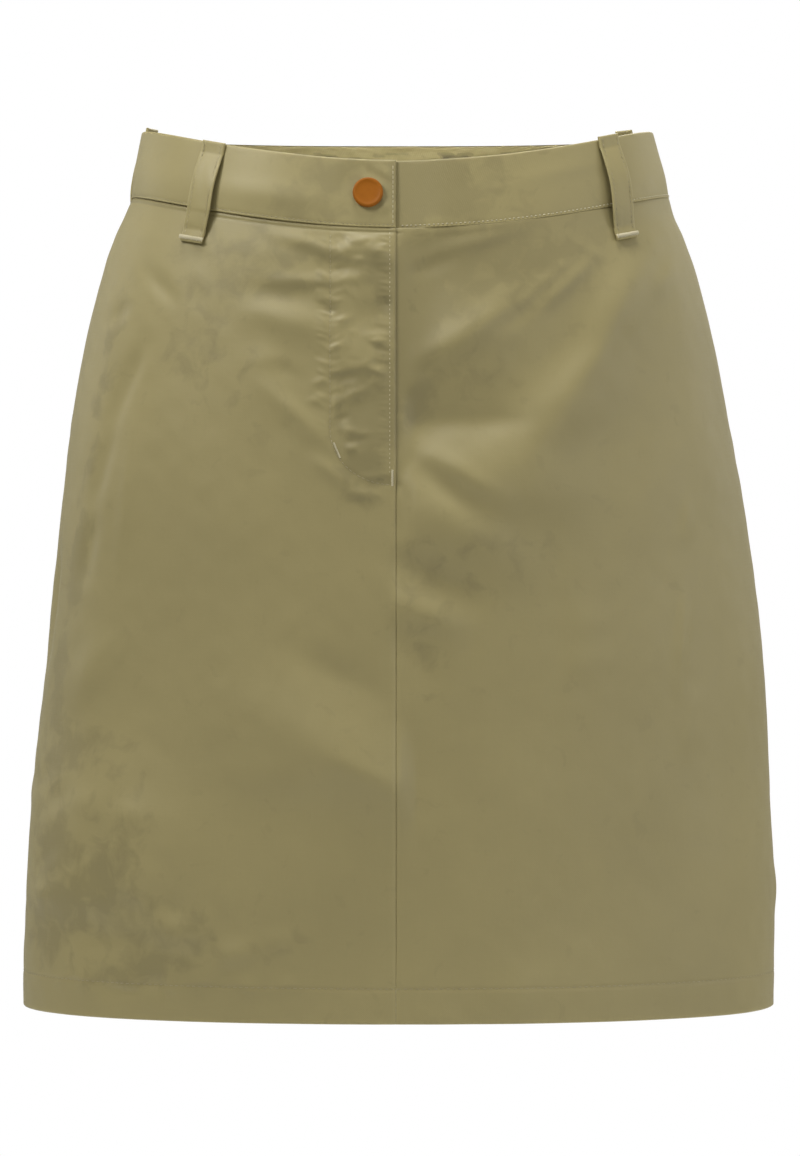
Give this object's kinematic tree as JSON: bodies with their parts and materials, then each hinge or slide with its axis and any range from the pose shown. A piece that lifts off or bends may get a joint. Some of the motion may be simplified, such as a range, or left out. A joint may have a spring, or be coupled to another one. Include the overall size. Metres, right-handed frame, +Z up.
{
  "type": "skort",
  "caption": "A-line woven skort in hollow worn form: lapped fly front, waistband with belt loops and a button, plain inner shorts.",
  "frame": {"origin": "middle of the waist, level with the waist seam at the side seams, where the wearer's waist holds it", "axes": "+Z up along the wearer's body, -Y the front, +X the wearer's left"},
  "size_m": [0.4197, 0.2526, 0.4898],
  "materials": {
    "skirt_cloth": "fine smooth weave with a soft satin sheen, khaki olive",
    "band_cloth": "the skirt's cloth over interlining",
    "shorts_knit": "matte stretch jersey",
    "button_enamel": "matte to satin enamel, plain"
  },
  "bodies": {
    "root": {"front_right": "skirt_cloth", "front_left": "skirt_cloth", "back_left": "skirt_cloth", "back_right": "skirt_cloth", "waistband": "band_cloth", "belt_loop_front_right": "band_cloth", "belt_loop_front_left": "band_cloth", "belt_loop_back_right": "band_cloth", "belt_loop_back_left": "band_cloth", "button": "button_enamel", "shorts_front_right": "shorts_knit", "shorts_back_right": "shorts_knit", "shorts_front_left": "shorts_knit", "shorts_back_left": "shorts_knit"}
  },
  "joints": []
}
